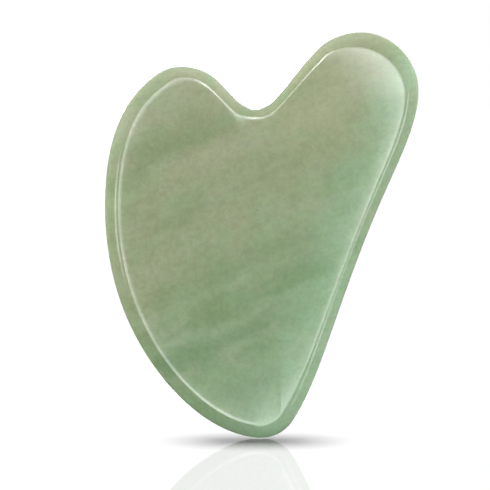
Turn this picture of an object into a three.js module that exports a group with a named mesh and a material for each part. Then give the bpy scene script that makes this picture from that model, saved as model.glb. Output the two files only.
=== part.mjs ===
// Gua sha board: one slab of polished green stone, heart shaped with one big and one small lobe.
//
// Millimetres, +Z up, the pointed tip down, the front face towards -Y. The board fills y from
// -thickness to 0, so the origin is on the flat middle of the back face, at half width and height.
// Run anywhere with the npm package three; the default export is the finished group.

import * as THREE from 'three';

// ---------------------------------------------------------------- driving dimensions

const board = { width: 62.7, height: 81.6, thickness: 6 };

// The outline runs clockwise seen from the front. Its round stretches are arcs of these radii, and
// rim is how far in from the edge the ridge runs at the start, middle and end of the arc. Where an
// arc meets a straight flank it stops short of the touching point by an ease, in degrees, so that
// the bend dies away gently.
const bigLobe = { radius: 11.8, rim: [2.4, 3.5, 2.95], notchEase: 6.5, flankEase: 22 };
const smallLobe = { radius: 9.35, drop: 6.8, rim: [2.8, 2.4, 2.2], notchEase: 19, shoulderAngle: 123 };
const notch = { radius: 4.4, depth: 15.3, rim: [1.95, 1.75, 1.65], smallEase: 3, bigEase: 6 };
const tip = { radius: 8.2, offset: -0.3, rim: [3.1, 3.1, 3], flankEase: 10.5, bellyAngle: -98 };

// Slopes of the two flanks of the notch, in degrees. With the radii and heights above they place
// the notch beside the big lobe, and the small lobe beside the notch.
const bigSlope = 48.8;
const smallSlope = 43.5;

// The belly is the leftmost point, and the waist is where the long right flank is straight, a
// share of the way from the big lobe to the tip.
const belly = { height: 46.5, rim: 2.85 };
const waist = { share: 0.43, rim: 2.4 };

// Handle lengths of the curves between the arcs, as shares of each curve's chord.
const flankTop = [0.25, 0.5];
const flankFoot = [0.5, 0.25];
const bellyFoot = [0.25, 0.46];
const shoulder = [0.33, 0.36];
const smallFlank = [0.36, 0.27];
const bigFlank = [0.25, 0.37];

// Cross-section: a flat middle, a slightly crowned band out to the ridge, then a rounded nose. At
// the ridge the crown leans crownLean degrees and the nose noseLean degrees, all the way round.
const flatWidth = 39;
const crownLean = 5.5;
const crownPower = 2.4;
const noseLean = 16;
const ridgeRound = 0.5;

// Facets
const outlineStep = 2.1;
const noseRings = 5;
const ridgeRings = 2;
const crownRings = 4;

const jade = new THREE.MeshStandardMaterial({ color: 0x94ab84, roughness: 0.14, metalness: 0 });

// ---------------------------------------------------------------- outline

const at = (x, z) => new THREE.Vector2(x, z);
const direction = (degrees) => {
  const angle = THREE.MathUtils.degToRad(degrees);
  return at(Math.cos(angle), Math.sin(angle));
};

// Heading of a clockwise walk at that angle of a circle; a walk round the notch is the reverse.
const clockwise = (degrees) => direction(degrees - 90);
const anticlockwise = (degrees) => direction(degrees + 90);

// The quadratic that passes through three values, at t of 0, a half and 1.
const through = ([first, middle, last], t) =>
  first * (1 - t) * (1 - 2 * t) + 4 * middle * t * (1 - t) + last * t * (2 * t - 1);

// Samples along one round stretch: place, heading and rim width.
function arc(centre, { radius, rim }, from, to) {
  const turn = from > to ? clockwise : anticlockwise;
  const length = radius * THREE.MathUtils.degToRad(Math.abs(to - from));
  const count = Math.ceil(length / outlineStep);
  return Array.from({ length: count + 1 }, (_, i) => {
    const degrees = THREE.MathUtils.lerp(from, to, i / count);
    const place = centre.clone().addScaledVector(direction(degrees), radius);
    return { place, heading: turn(degrees), rim: through(rim, i / count) };
  });
}

// Samples along the curve that leaves sample a and meets sample b, both ends left out.
function blend(a, b, [leave, arrive]) {
  const chord = a.place.distanceTo(b.place);
  const curve = new THREE.CubicBezierCurve(
    a.place,
    a.place.clone().addScaledVector(a.heading, leave * chord),
    b.place.clone().addScaledVector(b.heading, -arrive * chord),
    b.place,
  );
  const count = Math.ceil(chord / outlineStep);
  return Array.from({ length: count - 1 }, (_, i) => {
    const t = (i + 1) / count;
    const rim = THREE.MathUtils.lerp(a.rim, b.rim, THREE.MathUtils.smoothstep(t, 0, 1));
    return { place: curve.getPoint(t), heading: curve.getTangent(t), rim };
  });
}

// How far apart in x two circles of the lobe and the notch stand, one on each side of a flank of
// that slope which touches both; rise is how much higher the notch's centre is than the lobe's.
function flankSpan(lobe, slope, rise) {
  const angle = THREE.MathUtils.degToRad(slope);
  return (lobe.radius + notch.radius - rise * Math.cos(angle)) / Math.sin(angle);
}

function makeOutline() {
  const right = board.width / 2;
  const top = board.height / 2;
  const bigCentre = at(right - bigLobe.radius, top - bigLobe.radius);
  const notchCentre = at(0, top - notch.depth + notch.radius);
  notchCentre.x = bigCentre.x - flankSpan(bigLobe, bigSlope, notchCentre.y - bigCentre.y);
  const smallCentre = at(0, top - smallLobe.drop - smallLobe.radius);
  smallCentre.x = notchCentre.x - flankSpan(smallLobe, smallSlope, notchCentre.y - smallCentre.y);
  const tipCentre = at(tip.offset, tip.radius - top);

  // The long flank lies on the line that touches the big lobe and the tip on their right.
  const run = tipCentre.clone().sub(bigCentre);
  const turn = Math.asin((bigLobe.radius - tip.radius) / run.length());
  const down = run.normalize().rotateAround(at(0, 0), -turn);
  const outwards = at(-down.y, down.x);
  const touch = THREE.MathUtils.radToDeg(Math.atan2(outwards.y, outwards.x));
  const waistPlace = bigCentre.clone().addScaledVector(outwards, bigLobe.radius);
  waistPlace.lerp(tipCentre.clone().addScaledVector(outwards, tip.radius), waist.share);

  const bigFrom = 90 + bigSlope - bigLobe.notchEase;
  const smallTo = 90 - smallSlope + smallLobe.notchEase;
  const notchFrom = -90 - smallSlope + notch.smallEase;
  const notchTo = -90 + bigSlope - notch.bigEase;
  const bigArc = arc(bigCentre, bigLobe, bigFrom, touch + bigLobe.flankEase);
  const waistPoint = { place: waistPlace, heading: down, rim: waist.rim };
  const tipArc = arc(tipCentre, tip, touch - tip.flankEase, tip.bellyAngle);
  const bellyPoint = { place: at(-right, belly.height - top), heading: at(0, 1), rim: belly.rim };
  const smallArc = arc(smallCentre, smallLobe, smallLobe.shoulderAngle, smallTo);
  const notchArc = arc(notchCentre, notch, notchFrom, notchTo);
  return [
    ...bigArc,
    ...blend(bigArc.at(-1), waistPoint, flankTop),
    waistPoint,
    ...blend(waistPoint, tipArc[0], flankFoot),
    ...tipArc,
    ...blend(tipArc.at(-1), bellyPoint, bellyFoot),
    bellyPoint,
    ...blend(bellyPoint, smallArc[0], shoulder),
    ...smallArc,
    ...blend(smallArc.at(-1), notchArc[0], smallFlank),
    ...notchArc,
    ...blend(notchArc.at(-1), bigArc[0], bigFlank),
  ];
}

// Centre of the area inside a closed polygon.
function areaCentre(points) {
  const sum = at(0, 0);
  let doubleArea = 0;
  points.forEach((p, i) => {
    const q = points[(i + 1) % points.length];
    const slice = p.cross(q);
    doubleArea += slice;
    sum.addScaledVector(p.clone().add(q), slice);
  });
  return sum.divideScalar(3 * doubleArea);
}

// ---------------------------------------------------------------- cross-section

const half = board.thickness / 2;

// Points of the half section at one outline sample, from the edge in to the flat middle, each
// { place, height } with height measured from the middle plane.
function section({ place, heading, rim }, centre) {
  const inwards = at(heading.y, -heading.x);
  const flatEdge = place.clone().sub(centre).multiplyScalar(flatWidth / board.width).add(centre);
  const ridge = place.clone().addScaledVector(inwards, rim);
  const crownSpan = flatEdge.clone().sub(ridge);
  const crownDepth = crownSpan.dot(inwards);
  const crownDrop = crownDepth * Math.tan(THREE.MathUtils.degToRad(crownLean)) / crownPower;
  const ridgeHalf = half - crownDrop;

  // The nose is part of an ellipse: straight up at the edge, and sweep round at the ridge, where
  // its slope is ridgeHalf / rim * cos(sweep) / (1 + cos(sweep)).
  const bend = Math.tan(THREE.MathUtils.degToRad(noseLean)) * rim / ridgeHalf;
  const sweep = Math.acos(bend / (1 - bend));
  const reach = rim / (1 - Math.cos(sweep));
  const rise = ridgeHalf / Math.sin(sweep);
  const nose = (angle) => ({
    place: place.clone().addScaledVector(inwards, reach * (1 - Math.cos(angle))),
    height: rise * Math.sin(angle),
  });
  const crown = (share) => ({
    place: ridge.clone().lerp(flatEdge, share),
    height: half - crownDrop * (1 - share) ** crownPower,
  });

  // The ridge is rounded over ridgeRound to each side of its corner.
  const noseEnd = Math.acos(1 - (rim - ridgeRound) / reach);
  const crownStart = ridgeRound / crownSpan.length();
  const before = nose(noseEnd);
  const after = crown(crownStart);
  const rounding = (t) => ({
    place: before.place.clone().lerp(ridge, t).lerp(ridge.clone().lerp(after.place, t), t),
    height: (1 - t) ** 2 * before.height + 2 * t * (1 - t) * ridgeHalf + t * t * after.height,
  });

  const points = [];
  for (let i = 0; i < noseRings; i += 1) points.push(nose(noseEnd * i / noseRings));
  for (let i = 0; i < ridgeRings; i += 1) points.push(rounding(i / ridgeRings));
  for (let i = 0; i <= crownRings; i += 1) {
    points.push(crown(THREE.MathUtils.lerp(crownStart, 1, i / crownRings)));
  }
  return points;
}

// ---------------------------------------------------------------- slab

function makeSlab() {
  const outline = makeOutline();
  const centre = areaCentre(outline.map((sample) => sample.place));
  const sections = outline.map((sample) => section(sample, centre));
  const around = sections.length;
  const steps = sections[0].length - 1;

  // Rings from the flat of the back, round the edge, to the flat of the front.
  const positions = [];
  for (let ring = -steps; ring <= steps; ring += 1) {
    for (const points of sections) {
      const { place, height } = points[Math.abs(ring)];
      positions.push(place.x, -half - Math.sign(ring) * height, place.y);
    }
  }

  const faces = [];
  for (let ring = 0; ring < 2 * steps; ring += 1) {
    for (let i = 0; i < around; i += 1) {
      const a = ring * around + i;
      const b = ring * around + (i + 1) % around;
      faces.push(a, a + around, b, b, a + around, b + around);
    }
  }

  // The two flats close the ends.
  const flat = sections.map((points) => points[steps].place);
  const lastRing = 2 * steps * around;
  for (const [a, b, c] of THREE.ShapeUtils.triangulateShape(flat, [])) {
    faces.push(a, c, b, lastRing + a, lastRing + b, lastRing + c);
  }

  const geometry = new THREE.BufferGeometry();
  geometry.setAttribute('position', new THREE.Float32BufferAttribute(positions, 3));
  geometry.setIndex(faces);
  geometry.computeVertexNormals();
  return geometry;
}

const stoneBoard = new THREE.Mesh(makeSlab(), jade);
stoneBoard.name = 'stone_board';

const guaSha = new THREE.Group();
guaSha.add(stoneBoard);

export default guaSha;
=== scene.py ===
# %% [markdown]
# # A polished stone gua sha board
#
# A gua sha board is one flat slab of green stone, cut to a lopsided heart and ground smooth. It has
# a big lobe and a small lobe with a notch between them, a round belly on one side, a long straight
# flank on the other and a blunt tip. Everything that makes it look real is in its edge, where a
# ridge runs round each face, and in the stone, which is cloudy, banded and slightly translucent.
#
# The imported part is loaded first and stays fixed. Every later cell works in its frame, in metres,
# with +Z up and the front of the board towards -Y.

# %% Load the part and note its box
import math

import bpy
import numpy as np
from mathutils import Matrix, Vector


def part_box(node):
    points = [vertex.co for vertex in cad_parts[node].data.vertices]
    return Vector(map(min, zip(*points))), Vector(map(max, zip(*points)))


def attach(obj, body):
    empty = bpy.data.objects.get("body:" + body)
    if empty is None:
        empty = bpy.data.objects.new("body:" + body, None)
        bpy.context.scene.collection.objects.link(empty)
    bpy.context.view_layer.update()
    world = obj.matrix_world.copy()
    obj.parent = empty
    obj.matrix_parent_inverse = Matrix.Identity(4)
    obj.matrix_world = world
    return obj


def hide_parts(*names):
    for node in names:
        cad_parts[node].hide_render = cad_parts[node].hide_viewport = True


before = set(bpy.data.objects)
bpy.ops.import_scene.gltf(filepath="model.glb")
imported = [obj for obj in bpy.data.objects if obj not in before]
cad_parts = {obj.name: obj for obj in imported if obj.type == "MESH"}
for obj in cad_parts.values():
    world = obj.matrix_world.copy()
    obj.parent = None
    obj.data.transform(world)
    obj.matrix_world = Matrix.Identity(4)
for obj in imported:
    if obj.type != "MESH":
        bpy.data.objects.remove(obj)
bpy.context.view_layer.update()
low, high = (np.array(corner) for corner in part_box("stone_board"))
print("board runs from", (low * 1000).round(2), "to", (high * 1000).round(2), "mm")

# %% [markdown]
# ## The sizes
#
# The outline is drawn the way a maker draws a template: a few circles for the round places, and
# easy curves that run from one circle to the next. The circles are named here, once, in metres.
# The overall width, height and thickness come from the loaded part, so the finished stone always
# fills the same box.
#
# Where a circle has three values for its rim or its wear, they stand at its start, middle and end,
# going clockwise round the board (through the notch, from the small lobe to the big one).

# %% Name the template's sizes
mm = 0.001
width, thickness, height = high - low
right, top = high[0], high[2]

# The rim is how far in from the edge the ridge runs.
big_radius, big_rim = 11.8 * mm, (2.0 * mm, 3.5 * mm, 2.95 * mm)
small_radius, small_drop, small_rim = 9.35 * mm, 6.8 * mm, (2.9 * mm, 2.4 * mm, 2.2 * mm)
notch_radius, notch_depth, notch_rim = 4.4 * mm, 15.3 * mm, (1.95 * mm, 1.7 * mm, 1.5 * mm)
tip_radius, tip_offset, tip_rim = 8.2 * mm, -0.3 * mm, (3.1 * mm, 3.1 * mm, 3.0 * mm)
belly_height, belly_rim = 46.5 * mm, 3.0 * mm
waist_share, waist_rim = 0.43, 2.4 * mm
big_slope, small_slope = math.radians(48.8), math.radians(43.5)

# The wear is how far the polished round reaches from the ridge on to the face, and the nip is how
# far it reaches down the edge.
crisp, plain = 0.6 * mm, 0.9 * mm
big_wear = (1.3 * mm, 1.8 * mm, 1.2 * mm)
small_wear = (plain, 1.5 * mm, plain)
notch_wear = (plain, crisp, plain)
tip_wear = (1.9 * mm, 2.3 * mm, crisp)
waist_wear, belly_wear = 1.1 * mm, plain
nip = 0.35 * mm
print("template is", (np.array([width, height]) * 1000).round(1), "mm")

# %% [markdown]
# ## Arcs and easy curves
#
# The outline could be drawn by hand as a Bezier curve object, but then its points would be loose
# numbers. Here each stretch is worked out as a whole array instead. A stretch is a table with one
# row per sample: x, z, the heading in radians, the rim and the wear.

# %% Make one arc, and one curve between two samples
SAMPLES = 240


def arc(centre, radius, start, end, rim, wear):
    """Centre plus radius times (cos a, sin a), a running evenly from start to end. The heading is a
    quarter turn from the radius, on the side that a runs to. Rim and wear are each the quadratic in
    t through their three values at t of 0, a half and 1."""
    t = np.linspace(0, 1, SAMPLES)
    a = start + (end - start) * t
    heading = a + math.copysign(math.pi / 2, end - start)
    through = np.array([(1 - t) * (1 - 2 * t), 4 * t * (1 - t), t * (2 * t - 1)])
    x, z = centre[0] + radius * np.cos(a), centre[1] + radius * np.sin(a)
    return np.c_[x, z, heading, rim @ through, wear @ through]


def ease(before, after, leave, arrive):
    """The cubic Bezier from sample before to sample after. Its inner points lie along the two
    headings, at the shares leave and arrive of the straight distance between the samples. The
    heading is the angle of its derivative. Rim and wear blend by 3t squared minus 2t cubed."""
    t = np.linspace(0, 1, SAMPLES)[:, None]
    start, end = before[:2], after[:2]
    reach = np.hypot(*(end - start))
    pull = start + leave * reach * np.array([math.cos(before[2]), math.sin(before[2])])
    push = end - arrive * reach * np.array([math.cos(after[2]), math.sin(after[2])])
    place = (1 - t) ** 3 * start + 3 * (1 - t) ** 2 * t * pull
    place += 3 * (1 - t) * t**2 * push + t**3 * end
    along = (1 - t) ** 2 * (pull - start) + 2 * (1 - t) * t * (push - pull) + t**2 * (end - push)
    heading = np.arctan2(along[:, 1], along[:, 0])
    rest = before[3:] + (after[3:] - before[3:]) * (3 * t**2 - 2 * t**3)
    return np.c_[place, heading, rest]


print("each stretch of the outline gets", SAMPLES, "samples")

# %% [markdown]
# ## The outline
#
# The two flanks of the notch have a slope each. A flank touches the lobe on one side and the notch
# on the other, and that places the notch beside the big lobe and the small lobe beside the notch.
# The long flank lies on the line that touches the big lobe and the tip. All stretches are strung
# together clockwise, seen from the front, and then cut into even steps, because even steps shade
# evenly.

# %% Place the circles
def flank_span(radius, slope, rise):
    """How far apart in x a lobe and the notch stand, when a flank of that slope touches both: the
    sum of the radii, less rise times cos slope, all over sin slope."""
    return (radius + notch_radius - rise * math.cos(slope)) / math.sin(slope)


big_centre = np.array([right - big_radius, top - big_radius])
notch_z = top - notch_depth + notch_radius
notch_x = big_centre[0] - flank_span(big_radius, big_slope, notch_z - big_centre[1])
small_z = top - small_drop - small_radius
small_x = notch_x - flank_span(small_radius, small_slope, notch_z - small_z)
tip_centre = np.array([tip_offset, low[2] + tip_radius])

run = tip_centre - big_centre
lean = math.atan2(-run[0], -run[1]) + math.asin((big_radius - tip_radius) / np.hypot(*run))
outwards = np.array([math.cos(lean), -math.sin(lean)])
waist_place = (1 - waist_share) * (big_centre + outwards * big_radius)
waist_place += waist_share * (tip_centre + outwards * tip_radius)
print(f"the long flank leans {math.degrees(lean):.1f} degrees from upright")

# %% [markdown]
# An arc stops a few degrees short of where it would touch a flank, so that the bend dies away
# gently instead of stopping dead. The handles say how far each easy curve holds the direction of
# the arc it leaves and of the one it meets, as shares of the distance between them.

# %% String the stretches together and cut them into even steps
AROUND = 640
big_notch_ease, big_flank_ease = math.radians(6.5), math.radians(22)
small_start, small_notch_ease = math.radians(123), math.radians(19)
notch_small_ease, notch_big_ease = math.radians(3), math.radians(6)
tip_flank_ease, tip_end = math.radians(10.5), math.radians(-98)
flank_top, flank_foot, belly_foot = (0.25, 0.5), (0.5, 0.25), (0.25, 0.46)
shoulder, small_flank, big_flank = (0.33, 0.36), (0.36, 0.27), (0.25, 0.37)
quarter = math.pi / 2


def make_outline():
    """The arcs and curves in one closed table, resampled at AROUND equal steps of its length."""
    big_from, big_to = quarter + big_slope - big_notch_ease, big_flank_ease - lean
    big = arc(big_centre, big_radius, big_from, big_to, big_rim, big_wear)
    waist = np.array([*waist_place, -quarter - lean, waist_rim, waist_wear])
    tip = arc(tip_centre, tip_radius, -lean - tip_flank_ease, tip_end, tip_rim, tip_wear)
    belly = np.array([low[0], low[2] + belly_height, quarter, belly_rim, belly_wear])
    small_to = quarter - small_slope + small_notch_ease
    small = arc((small_x, small_z), small_radius, small_start, small_to, small_rim, small_wear)
    notch_from = -quarter - small_slope + notch_small_ease
    notch_to = -quarter + big_slope - notch_big_ease
    notch = arc((notch_x, notch_z), notch_radius, notch_from, notch_to, notch_rim, notch_wear)
    stretches = [
        big,
        ease(big[-1], waist, *flank_top),
        ease(waist, tip[0], *flank_foot),
        tip,
        ease(tip[-1], belly, *belly_foot),
        ease(belly, small[0], *shoulder),
        small,
        ease(small[-1], notch[0], *small_flank),
        notch,
        ease(notch[-1], big[0], *big_flank),
    ]
    table = np.vstack([stretch[:-1] for stretch in stretches] + [big[:1]])
    table[:, 2] = np.unwrap(table[:, 2])
    walked = np.r_[0, np.cumsum(np.hypot(*np.diff(table[:, :2], axis=0).T))]
    steps = np.linspace(0, walked[-1], AROUND, endpoint=False)
    return np.stack([np.interp(steps, walked, column) for column in table.T], axis=1), walked[-1]


outline, perimeter = make_outline()
place, heading, rim, wear = outline[:, :2], outline[:, 2], outline[:, 3], outline[:, 4]
inwards = np.c_[np.sin(heading), -np.cos(heading)]
print(f"outline is {perimeter * 1000:.1f} mm round, in steps of {perimeter / AROUND * 1000:.2f} mm")

# %% [markdown]
# ## The cross-section
#
# Cut across, the edge is a rounded nose. It is part of an ellipse, and it stops before it lies
# flat, so that it meets the face at an angle: that is the ridge. Inside the ridge the face is
# crowned, it climbs a little and flattens out towards the middle. The ridge itself is rounded over,
# because a real one is polished, and it is this small round that catches a thin bright line.
#
# A bevel modifier could round the ridge too, but the rim is narrower in the notch than round the
# lobes, and a formula follows that for free.

# %% Measure the crown and the nose all round
flat_width = 39 * mm
crown_lean = math.radians(5.5)
crown_power = 2.4
nose_lean = math.radians(16)
half = thickness / 2


def area_centre(points):
    """The centre of a closed polygon's area, from the cross product of each edge's two ends."""
    following = np.roll(points, -1, axis=0)
    slices = points[:, 0] * following[:, 1] - points[:, 1] * following[:, 0]
    return ((points + following) * slices[:, None]).sum(0) / (3 * slices.sum())


centre = area_centre(place)
flat_edge = centre + (place - centre) * flat_width / width
ridge_line = place + inwards * rim[:, None]
crown_span = flat_edge - ridge_line
crown_depth = (crown_span * inwards).sum(1)
crown_drop = crown_depth * math.tan(crown_lean) / crown_power
ridge_half = half - crown_drop
bend = math.tan(nose_lean) * rim / ridge_half
nose_sweep = np.arccos(bend / (1 - bend))
print(f"the crown is {crown_depth.min() * 1000:.1f} to {crown_depth.max() * 1000:.1f} mm wide")
print(f"and drops {crown_drop.min() * 1000:.2f} to {crown_drop.max() * 1000:.2f} mm")

# %% [markdown]
# The rings run from the widest line of the edge to the middle of the face. The rounding over the
# ridge is a quadratic Bezier: it leaves the nose one nip before the corner, pulls towards the
# corner, and lands on the crown one wear inside it. A wider round shows a wider, softer line.

# %% Stack the rings of one half
NOSE, RIDGE, CROWN, FLAT = 18, 8, 16, 12


def make_half():
    """Rings from the edge to the middle. The nose is in from the edge by the rim times (1 - cos a)
    over (1 - cos sweep), and up by the ridge's height times sin a over sin sweep. The rounding is
    the quadratic Bezier. The crown's height is the half thickness less the drop times (1 - t) to the
    crown's power. The flat is the crown's last ring, shrunk evenly towards the centre."""
    nose_end = np.arccos(1 - (1 - nip / rim) * (1 - np.cos(nose_sweep)))
    crown_start = wear / np.hypot(*crown_span.T)

    def nose_ring(share):
        a = share * nose_end
        inset = rim * (1 - np.cos(a)) / (1 - np.cos(nose_sweep))
        return place + inwards * inset[:, None], ridge_half * np.sin(a) / np.sin(nose_sweep)

    def crown_ring(share):
        t = crown_start + (1 - crown_start) * share
        ring = ridge_line + crown_span * t[:, None]
        return ring, half - crown_drop * (1 - t) ** crown_power

    def round_ring(t):
        (before, before_up), (after, after_up) = nose_ring(1), crown_ring(0)
        ring = (1 - t) ** 2 * before + 2 * t * (1 - t) * ridge_line + t**2 * after
        return ring, (1 - t) ** 2 * before_up + 2 * t * (1 - t) * ridge_half + t**2 * after_up

    def flat_ring(share):
        return centre + (flat_edge - centre) * (1 - share), np.full(AROUND, half)

    rings = [nose_ring(share) for share in np.arange(NOSE) / NOSE]
    rings += [round_ring(share) for share in np.arange(RIDGE) / RIDGE]
    rings += [crown_ring(share) for share in np.arange(CROWN) / CROWN]
    rings += [flat_ring(share) for share in np.arange(FLAT) / FLAT]
    return np.array([ring for ring, _ in rings]), np.array([up for _, up in rings])


ring_places, ring_heights = make_half()
print("half section has", len(ring_places), "rings of", AROUND, "points")

# %% [markdown]
# ## Hand polishing
#
# A slab polished on a wheel by hand is never quite flat. The faces roll by a few hundredths of a
# millimetre, too little to see as shape but enough to bend a reflection. A few long, slow waves in
# the real geometry do this better than a bump map, because they are part of the mesh itself.

# %% Roll the faces slightly
roll_height = 0.012 * mm

# Each wave: radians per millimetre along x and along z, where it starts, how much that start moves
# with the side, and its weight.
ROLL_WAVES = [
    (0.16, 0.10, 0.0, 1.3, 1.0),
    (0.09, -0.15, 2.1, 0.0, 1.0),
    (0.05, 0.21, 0.0, 0.8, 0.7),
]


def roll(places, side):
    """How deep the face lies below true: the height times the weights' sum less the sum of the
    weighted sine waves. It is never less than nothing, so the face only ever moves inward."""
    x, z = places[..., 0] / mm, places[..., 1] / mm
    total = 0.0
    for along_x, along_z, start, shift, weight in ROLL_WAVES:
        total = total + weight * (1 - np.sin(along_x * x + along_z * z + start + shift * side))
    return roll_height * total


print(f"the front dips by up to {roll(ring_places, 1).max() / mm:.3f} mm before the fade to the edge")

# %% [markdown]
# ## The skin
#
# The rings of both halves are stacked into one closed skin, with a single point in the middle of
# each face. The roll fades in from the ridge to the flat, so that the ridge stays true. Building
# the whole skin from arrays keeps every face four-cornered except round the two middles.

# %% Build the mesh
def make_board():
    """The front half's rings from its pole out to the edge, then the back half's from the edge in
    to its pole: a closed skin with a single point at each end."""
    count = len(ring_places)
    fade = np.clip((np.arange(count) - NOSE - RIDGE) / CROWN, 0, 1)[:, None] ** 2
    middle = high[1] - half
    front_y = middle - ring_heights + fade * roll(ring_places, 1)
    back_y = middle + ring_heights - fade * roll(ring_places, -1)
    front = np.dstack([ring_places[..., 0], front_y, ring_places[..., 1]])[::-1]
    back = np.dstack([ring_places[..., 0], back_y, ring_places[..., 1]])[1:]
    poles = [[centre[0], face[:, 1].mean(), centre[1]] for face in (front[0], back[-1])]
    points = np.vstack([front.reshape(-1, 3), back.reshape(-1, 3), poles])

    rings = 2 * count - 1
    ring, step = np.meshgrid(np.arange(rings - 1), np.arange(AROUND), indexing="ij")
    a = ring * AROUND + step
    b = ring * AROUND + (step + 1) % AROUND
    quads = np.stack([a, b, b + AROUND, a + AROUND], axis=-1).reshape(-1, 4)
    step = np.arange(AROUND)
    ahead = (step + 1) % AROUND
    last = (rings - 1) * AROUND
    front_fan = np.c_[np.full(AROUND, rings * AROUND), ahead, step]
    back_fan = np.c_[np.full(AROUND, rings * AROUND + 1), last + step, last + ahead]
    return points, quads, np.vstack([front_fan, back_fan])


def fill_mesh(name, points, quads, triangles):
    """A smooth mesh from arrays of points, four-cornered faces and three-cornered faces."""
    mesh = bpy.data.meshes.new(name)
    loops = np.r_[quads.ravel(), triangles.ravel()]
    sizes = np.r_[np.full(len(quads), 4), np.full(len(triangles), 3)]
    mesh.vertices.add(len(points))
    mesh.vertices.foreach_set("co", points.astype(np.float32).ravel())
    mesh.loops.add(len(loops))
    mesh.loops.foreach_set("vertex_index", loops.astype(np.int32))
    mesh.polygons.add(len(sizes))
    mesh.polygons.foreach_set("loop_start", np.r_[0, np.cumsum(sizes)[:-1]].astype(np.int32))
    mesh.update(calc_edges=True)
    mesh.validate()
    mesh.shade_smooth()
    return mesh


points, quads, triangles = make_board()
skin = fill_mesh("polished_board", points, quads, triangles)
board = bpy.data.objects.new("polished_board", skin)
bpy.context.scene.collection.objects.link(board)
print("mesh has", len(points), "points and", 2 * len(quads) + len(triangles), "triangles")
print("mesh runs from", (points.min(0) * 1000).round(2), "to", (points.max(0) * 1000).round(2), "mm")

# %% [markdown]
# ## A helper for nodes
#
# A material is a small network of nodes. The helper makes a node, sets its plain sockets and links
# the others, so that each later cell reads as a list of what the stone does.

# %% Make and link one node
def node(tree, kind, settings=None, **sockets):
    """A node of that kind. settings are its own options. A socket is named by its label with
    underscores, or _0, _1 for its number, and takes a value or another node's output."""
    made = tree.nodes.new(kind)
    for option, value in (settings or {}).items():
        setattr(made, option, value)
    for label, value in sockets.items():
        key = int(label[1:]) if label[1:].isdigit() else label.replace("_", " ")
        if isinstance(value, bpy.types.NodeSocket):
            tree.links.new(value, made.inputs[key])
        else:
            made.inputs[key].default_value = value
    return made


def srgb(red, green, blue):
    """A colour as a screen shows it, 0 to 255, turned to the linear light that nodes work in."""
    share = np.array([red, green, blue]) / 255
    linear = np.where(share <= 0.04045, share / 12.92, ((share + 0.055) / 1.055) ** 2.4)
    return (*linear, 1.0)


def mix(tree, factor, under, over, blend="MIX"):
    """One colour laid over another by that factor."""
    settings = {"data_type": "RGBA", "blend_type": blend}
    return node(tree, "ShaderNodeMix", settings, _0=factor, _6=under, _7=over).outputs[2]


def ramp(tree, value, low_end, high_end, bottom=0.0, peak=1.0):
    """The value, carried smoothly from low_end..high_end to bottom..peak."""
    settings = {"interpolation_type": "SMOOTHSTEP"}
    return node(
        tree, "ShaderNodeMapRange", settings, Value=value, From_Min=low_end, From_Max=high_end,
        To_Min=bottom, To_Max=peak,
    ).outputs[0]


print("a middling green, in linear light, is", np.round(srgb(147, 166, 129)[:3], 3))

# %% [markdown]
# ## The stone
#
# Green aventurine is quartz full of fine green plates. It is cloudy, light comes back out of it
# from a few millimetres down, and it lies in soft bands where the rock was squeezed. Painting a
# picture of that on the face would stop at the rim. Noise worked out from the Object coordinates
# runs through the whole slab like real stone, over the edge and on to the back.

# %% Place the pattern
stone = bpy.data.materials.new("green_stone")
stone.use_nodes = True
tree = stone.node_tree
tree.nodes.clear()
spot = node(tree, "ShaderNodeTexCoord").outputs["Object"]
PER_METRE = 1000
LAYER_REACH = 50


def noise(where, scale_mm, detail=3, rough=0.5, warp=0.0):
    """Soft noise whose blobs are about scale_mm across."""
    return node(
        tree, "ShaderNodeTexNoise", None, Vector=where, Scale=PER_METRE / scale_mm,
        Detail=detail, Roughness=rough, Distortion=warp,
    ).outputs[0]


def maths(operation, first, second, third=0.0):
    """One step of arithmetic between node outputs or numbers."""
    return node(
        tree, "ShaderNodeMath", {"operation": operation}, _0=first, _1=second, _2=third
    ).outputs[0]


def layers(value, stops):
    """The value, looked up between stops of (millimetres, colour), LAYER_REACH either way."""
    reach = LAYER_REACH * mm
    share = node(
        tree, "ShaderNodeMapRange", None, Value=value, From_Min=-reach, From_Max=reach
    ).outputs[0]
    lookup = node(tree, "ShaderNodeValToRGB", None, Fac=share)
    table = lookup.color_ramp
    table.interpolation = "EASE"
    for number, (at_mm, colour) in enumerate(stops):
        position = (at_mm + LAYER_REACH) / (2 * LAYER_REACH)
        stop = table.elements[0] if number == 0 else table.elements.new(position)
        stop.position = position
        stop.color = colour
    table.elements.remove(table.elements[-1])
    return lookup.outputs[0]


def turned(degrees, stretch=(1.0, 1.0, 1.0)):
    """The stone's coordinates, turned in the face's plane so that X rises by that angle, and drawn
    out by stretch."""
    return node(
        tree, "ShaderNodeMapping", {"vector_type": "TEXTURE"}, Vector=spot,
        Rotation=(0, math.radians(-degrees), 0), Scale=stretch,
    ).outputs[0]


def along(degrees):
    """How far a spot lies along each axis of the turned coordinates: its x, y and z."""
    return node(tree, "ShaderNodeSeparateXYZ", None, Vector=turned(degrees)).outputs


def nudge(value, waver, reach):
    """The value moved by up to half of reach either way, by a noise that runs from 0 to 1."""
    return maths("MULTIPLY_ADD", maths("SUBTRACT", waver, 0.5), reach, value)


print("the pattern can be laid in layers from", -LAYER_REACH, "to", LAYER_REACH, "mm")
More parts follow.
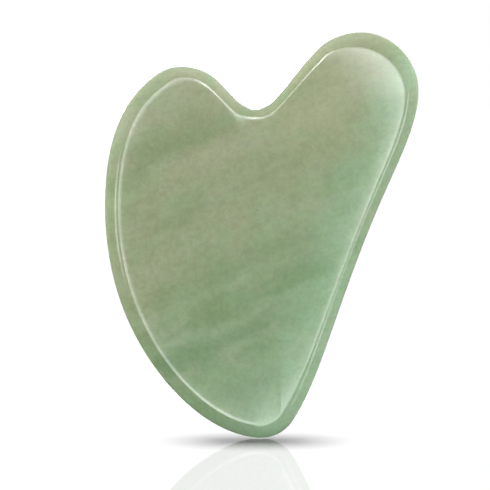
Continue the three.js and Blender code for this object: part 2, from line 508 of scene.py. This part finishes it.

# %% [markdown]
# The colour drifts from a cool green near the tip to a warmer, paler one near the lobes, because
# the rock wasn't the same all through. One side is mintier. Each of these two is a distance in the
# stone, made uneven by a little noise, so that no border runs straight. The big lobe also gets a
# painted glow: a pale beige patch, fading with plain distance from one spot, in place of the sheen of
# light on it.

# %% Drift the colour across the board and paint a pale glow on the big lobe
DRIFT = [
    (-30, srgb(146, 173, 140)),
    (-16, srgb(143, 167, 131)),
    (-4, srgb(147, 166, 129)),
    (7, srgb(158, 168, 133)),
    (22, srgb(163, 170, 137)),
]
drift_tilt, mint_tilt = 35, -110
drift_reach, mint_reach = 22 * mm, 12 * mm
# The pale beige and its spot are a painted glow on the big lobe, standing in for the sheen of light
# there.
mint, painted_glow_colour = srgb(157, 190, 154), srgb(178, 184, 144)
painted_glow_spot = (10 * mm, -3 * mm, 27 * mm)

drift = nudge(along(drift_tilt)[2], noise(spot, 11, 3, 0.55, 0.5), drift_reach)
colour = layers(drift, DRIFT)

rightwards = nudge(along(mint_tilt)[2], noise(spot, 8, 3, 0.55, 0.5), mint_reach)
gather = ramp(tree, rightwards, 7 * mm, 16 * mm, bottom=0.0, peak=0.75)
thin_out = ramp(tree, rightwards, 16.5 * mm, 19.5 * mm, bottom=1.0, peak=0.5)
colour = mix(tree, maths("MULTIPLY", gather, thin_out), colour, mint)

# Painted glow: pale beige laid over the big lobe, strongest at its spot and gone 15 mm away, in place
# of the lobe's sheen.
off_painted_glow = node(
    tree, "ShaderNodeVectorMath", {"operation": "DISTANCE"}, _0=spot, _1=painted_glow_spot
).outputs["Value"]
colour = mix(tree, ramp(tree, off_painted_glow, 3 * mm, 15 * mm, bottom=0.5, peak=0.0), colour, painted_glow_colour)
print("the drift has", len(DRIFT), "stops from", DRIFT[0][0], "to", DRIFT[-1][0], "mm")

# %% [markdown]
# Darker bands cross the slab where the rock was squeezed, all at about the same slope. Each stop
# says how strong the band is at that depth. They wander a little, they are broken here and there,
# and they are fainter on one side. Fine streaks run nearly the same way.

# %% Lay the bands
BANDS = [
    (-36, 0), (-27, 120), (-22, 60), (-17, 200), (-13.5, 70), (-10.5, 230), (-6.5, 50),
    (-3, 170), (2, 30), (13, 170), (18.5, 30), (23.5, 215), (30, 20),
]
band_tilt, streak_tilt, band_reach = 23, 25, 9 * mm
band_tint, streak_green = (0.58, 0.72, 0.52, 1), srgb(126, 152, 108)

across = along(band_tilt)
band_at = nudge(across[2], noise(turned(band_tilt, (3, 2, 1)), 7, 3, 0.6), band_reach)
strength = layers(band_at, [(at_mm, srgb(grey, grey, grey)) for at_mm, grey in BANDS])
leftwards = ramp(tree, across[0], -20 * mm, 20 * mm, bottom=1.0, peak=0.55)
broken = ramp(
    tree, noise(turned(band_tilt, (4, 2, 1)), 5, 3, 0.6), 0.35, 0.62, bottom=0.35, peak=1.0
)
bands = maths("MULTIPLY", maths("MULTIPLY", strength, leftwards), broken)
colour = mix(tree, bands, colour, band_tint, "MULTIPLY")
streaks = noise(turned(streak_tilt, (5, 2, 1)), 1.6, 4, 0.65)
colour = mix(tree, ramp(tree, streaks, 0.50, 0.72, peak=0.22), colour, streak_green)
print("the bands rise", band_tilt, "degrees and have", len(BANDS), "stops")

# %% [markdown]
# Between the bands the stone is cloudy: paler, slightly pink patches a few millimetres wide, where
# there is more quartz and less green. Close up it is finely mottled: grains a few tenths of a
# millimetre across, some a little darker and some paler, and here and there a dark fleck. They
# stay faint, or the board looks like granite.

# %% Add the clouds, the grain and the flecks
cloud_pale, fresh_green, fleck_dark = srgb(169, 180, 151), srgb(142, 172, 126), srgb(100, 124, 88)
grain_low, grain_high = 0.93, 1.07

clouds = noise(turned(band_tilt, (1.6, 1, 1)), 5.5, 3, 0.55, 0.4)
colour = mix(tree, ramp(tree, clouds, 0.48, 0.72, peak=0.34), colour, cloud_pale)
greener = noise(turned(band_tilt, (2.2, 1, 1)), 7, 4, 0.6, 0.6)
colour = mix(tree, ramp(tree, greener, 0.45, 0.70, peak=0.45), colour, fresh_green)
grain = ramp(tree, noise(spot, 1.1, 3, 0.75), 0.3, 0.7, bottom=grain_low, peak=grain_high)
colour = mix(tree, 1.0, colour, grain, "MULTIPLY")
flecks = ramp(tree, noise(spot, 1.5, 2, 0.5), 0.70, 0.78, peak=0.30)
colour = mix(tree, flecks, colour, fleck_dark)
print(f"the grain changes the colour by {(grain_high - 1) * 100:.0f} per cent either way")

# %% [markdown]
# ## The polish
#
# The surface is glossy with a faint unevenness left by the wheel. Light that enters comes out
# again nearby, which the subsurface part of the shader does. Its reach is short here, about as
# deep as the rim is wide, so that the rim glows softly and the slab stays solid.

# %% Shade the stone
stone_ior, coat_ior = 1.54, 1.5
glow_share, glow_reach = 0.6, 2 * mm
ripple_depth = 0.03 * mm

uneven = ramp(tree, noise(spot, 6, 3, 0.6), 0.3, 0.7, bottom=0.17, peak=0.25)
ripple = node(
    tree, "ShaderNodeBump", None, Strength=0.12, Distance=ripple_depth, Height=noise(spot, 2.2, 2, 0.5)
).outputs[0]
shader = node(
    tree, "ShaderNodeBsdfPrincipled", {"subsurface_method": "RANDOM_WALK"}, Base_Color=colour,
    Roughness=uneven, IOR=stone_ior, Normal=ripple, Subsurface_Weight=glow_share,
    Subsurface_Radius=(0.8, 1.0, 0.6), Subsurface_Scale=glow_reach,
    Coat_Weight=0.9, Coat_Roughness=0.08, Coat_IOR=coat_ior, Coat_Normal=ripple,
)
node(tree, "ShaderNodeOutputMaterial", None, Surface=shader.outputs[0])
board.data.materials.append(stone)
print("the stone's material has", len(tree.nodes), "nodes")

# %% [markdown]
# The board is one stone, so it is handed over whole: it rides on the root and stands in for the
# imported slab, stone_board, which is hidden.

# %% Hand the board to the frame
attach(board, "root")
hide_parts("stone_board")
print("the board replaces stone_board")

# %% [markdown]
# ## The table
#
# The board stands on its tip on a table that looks white. Its paint is really dark, under a clear
# gloss, and a strong lamp overhead brings it up to white. White paint would drown the gloss, and
# this way the table holds a faint mirror image of the tip. The table is kept out of the stone's
# reflections and doesn't shade it, so the two can be lit apart.

# %% Lay the table
table_reach = 6.0
table_paint, table_gloss, gloss_share = 0.06, 0.03, 0.22

table_mesh = bpy.data.meshes.new("table")
signs = [(-1, -1), (1, -1), (1, 1), (-1, 1)]
corners = [(table_reach * x, table_reach * y, low[2]) for x, y in signs]
table_mesh.from_pydata(corners, [], [(0, 1, 2, 3)])
table = bpy.data.objects.new("table", table_mesh)
bpy.context.scene.collection.objects.link(table)
table.visible_glossy = table.visible_shadow = table.visible_diffuse = False

paint = bpy.data.materials.new("table_paint")
paint.use_nodes = True
coats = paint.node_tree
coats.nodes.clear()
matt = node(coats, "ShaderNodeBsdfDiffuse", None, Color=(table_paint,) * 3 + (1,)).outputs[0]
gloss = node(
    coats, "ShaderNodeBsdfGlossy", None, Color=(1, 1, 1, 1), Roughness=table_gloss
).outputs[0]
coated = node(coats, "ShaderNodeMixShader", None, _0=gloss_share, _1=matt, _2=gloss).outputs[0]
node(coats, "ShaderNodeOutputMaterial", None, Surface=coated)
table_mesh.materials.append(paint)
print("the table is", 2 * table_reach, "m wide, with its top at", round(low[2] / mm, 2), "mm")

# %% [markdown]
# ## The room
#
# A light tent is white cloth all round. Here it is split in three, which a real tent can't do. The
# camera sees plain white. What lights the stone is brightest at its two sides, about half as bright
# in front, a little weaker from above and behind, and nearly dark from below. What the gloss
# mirrors is dim, so that the bright lines on the ridge come from the lamps alone, with one pale
# wall low behind the board for the table to mirror.

# %% Fill the room with light
world = bpy.data.worlds.new("tent")
bpy.context.scene.world = world
world.use_nodes = True
sky = world.node_tree
sky.nodes.clear()
directions = node(sky, "ShaderNodeTexCoord").outputs["Generated"]
toward = node(sky, "ShaderNodeSeparateXYZ", None, Vector=directions).outputs


def weigh(x_share, y_share, z_share):
    """The direction's x, y and z, each times its share, added up."""
    total = 0.0
    for output, share in zip(toward, (x_share, y_share, z_share)):
        total = node(
            sky, "ShaderNodeMath", {"operation": "MULTIPLY_ADD"}, _0=output, _1=share, _2=total
        ).outputs[0]
    return total


def times(first, second, operation="MULTIPLY"):
    """Two values of the tent multiplied, or put together by another operation."""
    return node(sky, "ShaderNodeMath", {"operation": operation}, _0=first, _1=second).outputs[0]


def cloth(strength):
    """White light of that strength."""
    return node(
        sky, "ShaderNodeBackground", None, Color=(1, 1, 1, 1), Strength=strength
    ).outputs[0]


steepness = times(toward[2], toward[2])
glow = ramp(sky, weigh(0.12, 0.45, 0.10), -0.6, 0.3, bottom=0.81, peak=2.55)
glow = times(glow, ramp(sky, steepness, 0.0, 1.0, bottom=1.0, peak=0.3))
glow = times(glow, ramp(sky, weigh(-0.35, 0, 1), -1.0, 0.0, bottom=0.2, peak=1.17))
glow = times(glow, ramp(sky, toward[1], 0.3, 1.0, bottom=1.0, peak=0.25))

wall = times(ramp(sky, toward[1], 0.90, 0.97), ramp(sky, toward[2], -0.01, 0.01))
wall = times(wall, ramp(sky, toward[2], 0.22, 0.30, bottom=1.0, peak=0.0))
beside = ramp(sky, weigh(0.2, 0, 0.5), -0.5, 0.3, bottom=0.05, peak=0.65)
beside = times(beside, ramp(sky, toward[1], -0.95, -0.5, bottom=0.15, peak=1.0))
beside = times(beside, ramp(sky, toward[1], 0.6, 0.95, bottom=1.0, peak=0.15))

path = node(sky, "ShaderNodeLightPath").outputs
felt, glint = cloth(glow), cloth(times(wall, beside, "MAXIMUM"))
unseen = node(
    sky, "ShaderNodeMixShader", None, _0=path["Is Glossy Ray"], _1=felt, _2=glint
).outputs[0]
tent = node(
    sky, "ShaderNodeMixShader", None, _0=path["Is Camera Ray"], _1=unseen, _2=cloth(1.0)
).outputs[0]
node(sky, "ShaderNodeOutputWorld", None, Surface=tent)
print("the tent has", len(sky.nodes), "nodes")

# %% [markdown]
# ## The lamps
#
# The bright line on the ridge is a mirror image of the lamps, drawn out thin by the small round.
# A ring of soft boxes in front gives it all the way round, and every other box has a twin behind
# for the back. One strip on each side gives the fainter second line, the panels give the broad
# glows on the lobes and the tip, and one small lamp close in front gives the streaks by the notch.
# The lamps are linked to the stone alone and only show in its gloss.

# %% Hang the lamps
lamp_wall = -600 * mm
ring_radius, ring_z, ring_size = 290, -44, (230, 230)
RING_GLOW = [3, 1.6, 1.2, 1.6, 2.4, 3, 3.6, 3.2, 3, 3, 3.4, 6, 3.2, 1.2, 2, 3]
back_glow = 4
board_middle = np.array([0.0, (low[1] + high[1]) / 2, 0.0])
stone_only = bpy.data.collections.new("lit_by_lamps")
stone_only.objects.link(board)


def soft_box(name, x, z, size, glow, y=lamp_wall):
    """A flat lamp at x, z on a wall in front of the board, turned to the board. It fades from its
    middle outwards. glow is the brightness of its face, so its power is glow times pi times its
    area. x, z and size are in millimetres."""
    lamp = bpy.data.lights.new(name, "AREA")
    lamp.shape = "RECTANGLE"
    lamp.size, lamp.size_y = size[0] * mm, size[1] * mm
    lamp.energy = glow * math.pi * lamp.size * lamp.size_y
    lamp.use_nodes = True
    face = node(lamp.node_tree, "ShaderNodeNewGeometry").outputs["Parametric"]
    from_middle = node(
        lamp.node_tree, "ShaderNodeVectorMath", {"operation": "DISTANCE"}, _0=face, _1=(0.5, 0.5, 0)
    ).outputs["Value"]
    fade = ramp(lamp.node_tree, from_middle, 0.1, 0.5, bottom=1.0, peak=0.0)
    lamp.node_tree.links.new(fade, lamp.node_tree.nodes["Emission"].inputs["Strength"])
    holder = bpy.data.objects.new(name, lamp)
    holder.location = (x * mm, y, z * mm)
    way = Vector(holder.location) - Vector(board_middle)
    holder.rotation_euler = way.to_track_quat("Z", "Y").to_euler()
    holder.visible_camera = False
    holder.visible_diffuse = False
    holder.light_linking.receiver_collection = stone_only
    bpy.context.scene.collection.objects.link(holder)


for number, ring_glow in enumerate(RING_GLOW):
    bearing = 2 * math.pi * number / len(RING_GLOW)
    x, z = ring_radius * math.cos(bearing), ring_z + ring_radius * math.sin(bearing)
    soft_box(f"ring_{number}", x, z, ring_size, ring_glow)
    if number % 2 == 0:
        soft_box(f"back_ring_{number}", x, z, ring_size, back_glow, -lamp_wall)

soft_box("back_panel", -150, 120, (260, 260), 3, -lamp_wall)
soft_box("panel_up_right", 150, 140, (260, 260), 4.2)
soft_box("panel_right", 190, 0, (200, 300), 3)
soft_box("panel_low_right", 95, -225, (230, 230), 3.2)
soft_box("strip_right", 700, -200, (150, 1000), 4.5)
soft_box("strip_left", -660, -60, (150, 500), 5)
soft_box("near_notch", 1, 59, (36, 34), 8, -80 * mm)
print("there are", len(bpy.data.lights), "lamps")

# %% [markdown]
# ## The light on the table
#
# One strong lamp straight above reaches the table and nothing else. A lamp like that would draw the
# board's own thin shadow, hard and long. So the board's shadow is left out and a small oval card,
# which nothing but this lamp sees, hangs above the tip and throws a short, soft patch instead.

# %% Light the table from above
overhead_power, overhead_angle = 50, math.radians(4)
flag_length, flag_width, flag_height = 28 * mm, 11 * mm, 200 * mm
flag_left, flag_forward, FLAG_POINTS = 1 * mm, 0.5 * mm, 48

sun = bpy.data.lights.new("overhead", "SUN")
sun.energy = overhead_power
sun.angle = overhead_angle
overhead = bpy.data.objects.new("overhead", sun)
bpy.context.scene.collection.objects.link(overhead)
table_only = bpy.data.collections.new("lit_by_overhead")
table_only.objects.link(table)
overhead.light_linking.receiver_collection = table_only

flag_mesh = bpy.data.meshes.new("flag")
turn = np.linspace(0, 2 * math.pi, FLAG_POINTS, endpoint=False)
oval = np.c_[flag_length / 2 * np.cos(turn), flag_width / 2 * np.sin(turn), 0 * turn]
flag_mesh.from_pydata(oval.tolist(), [], [tuple(range(FLAG_POINTS))])
flag = bpy.data.objects.new("flag", flag_mesh)
flag.location = (-flag_left, low[1] - flag_forward, low[2] + flag_height)
bpy.context.scene.collection.objects.link(flag)
flag.visible_camera = flag.visible_diffuse = flag.visible_glossy = False
flag_only = bpy.data.collections.new("stops_overhead")
flag_only.objects.link(flag)
overhead.light_linking.blocker_collection = flag_only
print("the flag is", round(flag_length / mm), "by", round(flag_width / mm), "mm")

# %% [markdown]
# ## The camera
#
# A long lens straight on to the face, a few degrees above the table, so that the table shows and
# the board keeps its proportions.

# %% Set the camera
camera = bpy.data.cameras.new("camera")
camera.lens = 150
camera.sensor_width = 36
frame_width = 98.25 * mm
rise = math.radians(4.4)
distance = frame_width * camera.lens / camera.sensor_width
aim = np.array([-3.25 * mm, board_middle[1], -1.65 * mm])
away = np.array([0, -math.cos(rise), math.sin(rise)])
viewer = bpy.data.objects.new("camera", camera)
viewer.location = Vector(aim + away * distance)
viewer.rotation_euler = Vector(away).to_track_quat("Z", "Y").to_euler()
bpy.context.scene.collection.objects.link(viewer)
bpy.context.scene.camera = viewer
bpy.context.scene.view_settings.view_transform = "Standard"
print(f"the camera stands {distance / mm:.0f} mm away")
